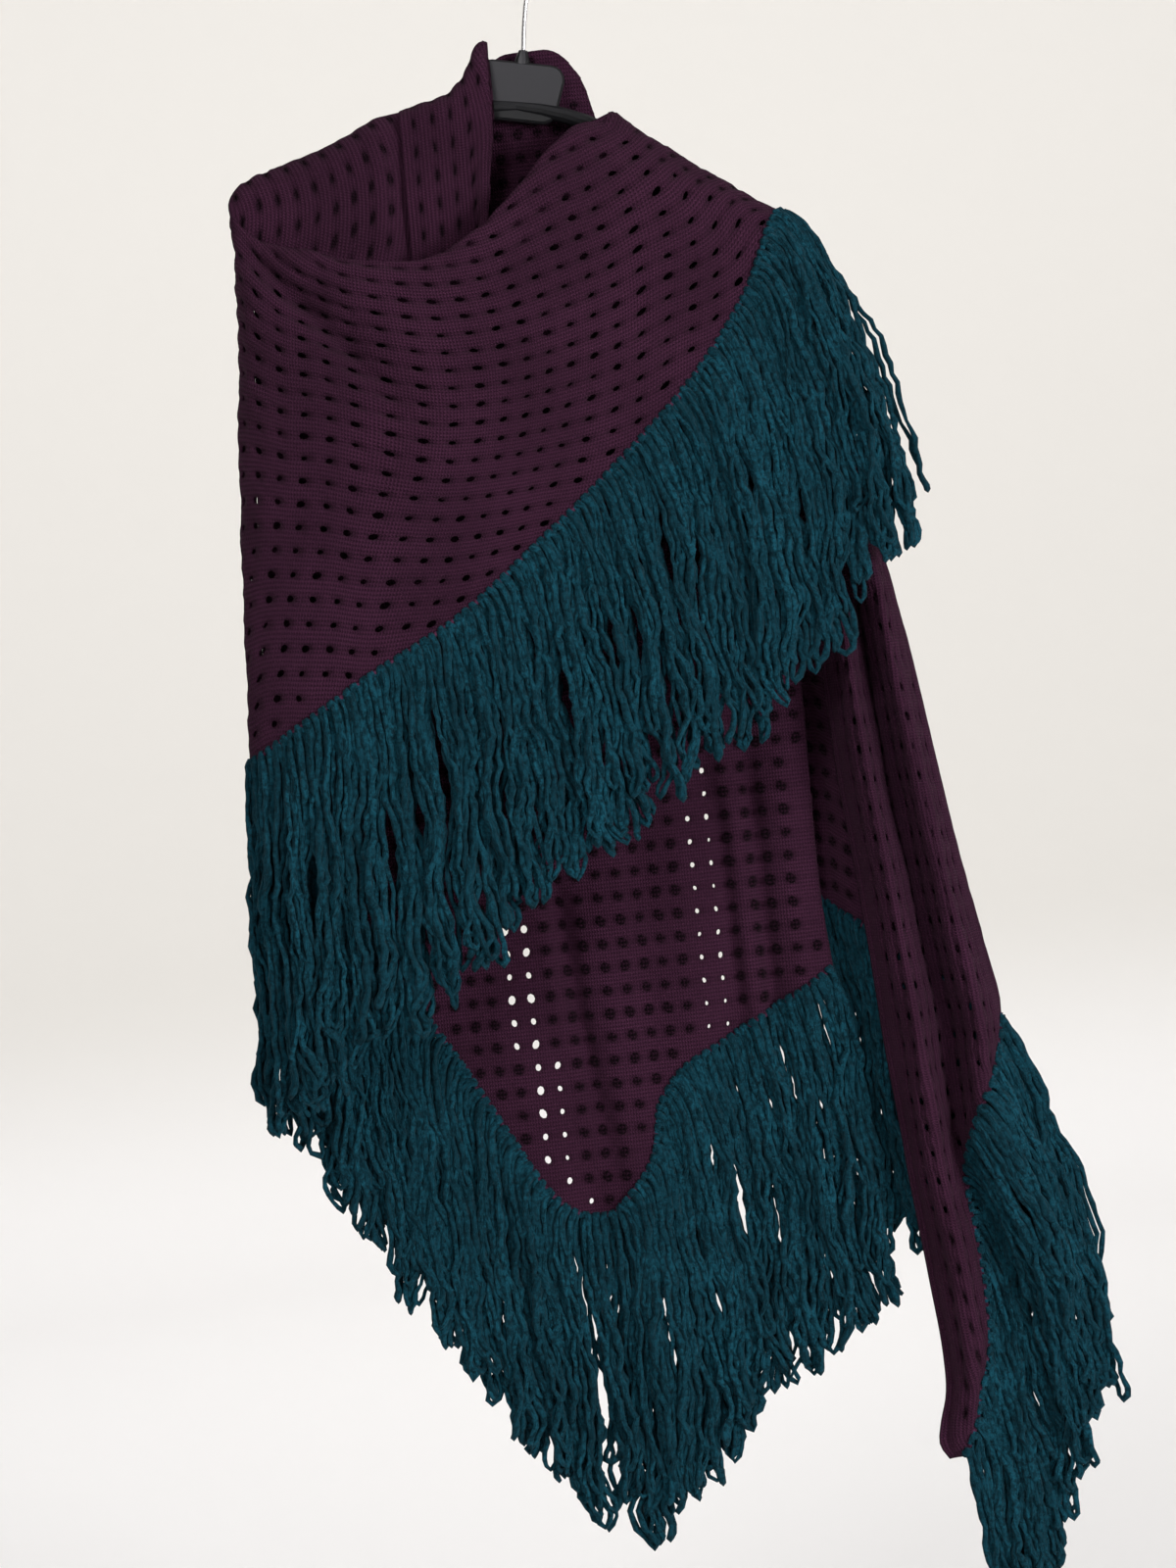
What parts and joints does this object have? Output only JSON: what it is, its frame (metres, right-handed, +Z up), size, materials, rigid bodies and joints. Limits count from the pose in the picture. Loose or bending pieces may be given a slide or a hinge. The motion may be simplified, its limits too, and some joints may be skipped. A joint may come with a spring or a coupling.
{
  "type": "fringed triangular knit shawl on a hanger",
  "caption": "Large triangular openwork shawl with a long looped fringe, draped over a hanger in a deep front swag and a folded tail.",
  "frame": {"origin": "inner top of the hook's arc, where a rail would carry the hanger", "axes": "+Z up, +X to the right arm as seen from the front, front towards -Y"},
  "size_m": [0.5952, 0.1266, 1.3887],
  "materials": {
    "aubergine_knit": "openwork knit of matt wool yarn",
    "petrol_yarn": "loose matt wool yarn",
    "grey_plastic": "satin moulded",
    "hook_wire": "bright drawn wire"
  },
  "bodies": {
    "root": {"left_shoulder": "aubergine_knit", "neck_fall": "aubergine_knit", "front_wrap": "aubergine_knit", "thrown_end": "aubergine_knit", "right_tail": "aubergine_knit", "back_side": "aubergine_knit", "back_panel": "aubergine_knit", "fringe_front": "petrol_yarn", "fringe_back_left": "petrol_yarn", "fringe_back_right": "petrol_yarn", "fringe_back_side": "petrol_yarn", "fringe_tail": "petrol_yarn", "fringe_thrown_end": "petrol_yarn", "hanger_body": "grey_plastic", "hanger_hook": "hook_wire"}
  },
  "joints": []
}
